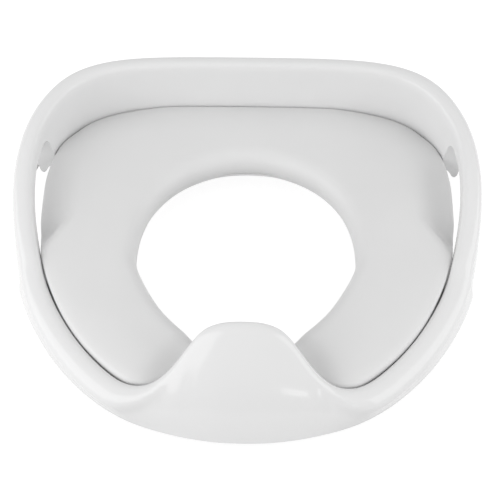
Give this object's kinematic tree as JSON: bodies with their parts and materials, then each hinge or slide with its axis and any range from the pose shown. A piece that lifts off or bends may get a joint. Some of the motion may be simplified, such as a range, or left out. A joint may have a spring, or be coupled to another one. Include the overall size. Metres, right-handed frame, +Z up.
{
  "type": "padded potty training seat",
  "caption": "Children's toilet training seat: moulded shell with back wall, side grab rails and splash guard, and a soft horseshoe pad round the opening.",
  "frame": {"origin": "middle of the object's box at its lowest level, the bottom edge of the locating skirt", "axes": "+X to the right as seen from the front, +Y towards the back wall, +Z up"},
  "size_m": [0.3888, 0.3354, 0.091],
  "materials": {
    "shell_plastic": "glossy white moulded polypropylene",
    "pad_cover": "soft satin white foam skin",
    "grip_rubber": "matt pale grey rubber"
  },
  "bodies": {
    "root": {"shell": "shell_plastic", "seat_pad": "pad_cover", "rear_right_grip": "grip_rubber", "rear_left_grip": "grip_rubber", "front_right_grip": "grip_rubber", "front_left_grip": "grip_rubber"}
  },
  "joints": []
}
